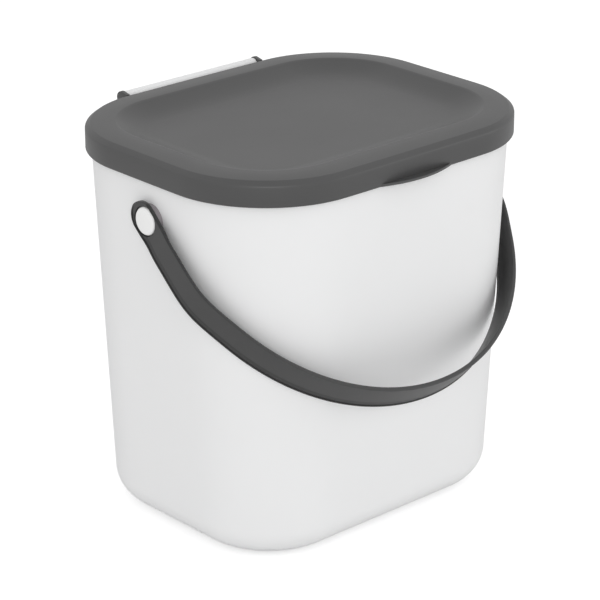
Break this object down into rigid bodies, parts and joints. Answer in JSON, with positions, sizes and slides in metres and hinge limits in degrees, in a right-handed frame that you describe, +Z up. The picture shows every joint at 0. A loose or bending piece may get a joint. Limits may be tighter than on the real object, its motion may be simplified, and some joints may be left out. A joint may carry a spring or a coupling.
{
  "type": "compost caddy",
  "caption": "Kitchen compost caddy: frosted rounded-rectangle pail with a dished hinged lid, a front finger tab and a swinging band bail on round pivot buttons.",
  "frame": {"origin": "centre of the base on the floor", "axes": "+X side to side along the bail's pivots, +Y towards the hinge, +Z up"},
  "size_m": [0.2224, 0.2047, 0.2169],
  "materials": {
    "frosted_plastic": "frosted white translucent polypropylene, satin",
    "lid_plastic": "dark grey moulded polypropylene with a fine satin texture",
    "bail_plastic": "dark grey moulded polypropylene, satin",
    "button_plastic": "opaque bright white, glossy"
  },
  "bodies": {
    "bucket": {"bucket": "frosted_plastic", "left_pivot_button": "button_plastic", "right_pivot_button": "button_plastic"},
    "lid": {"lid": "lid_plastic"},
    "bail": {"bail": "bail_plastic"}
  },
  "joints": [
    {"name": "lid_hinge", "type": "hinge", "parent": "bucket", "child": "lid", "pos_m": [0, 0.0913, 0.2127], "axis": [-1, 0, 0], "range_deg": [0, 105]},
    {"name": "bail_swing", "type": "hinge", "parent": "bucket", "child": "bail", "pos_m": [0, -0.0019, 0.182], "axis": [-1, 0, 0], "range_deg": [0, 261]}
  ]
}
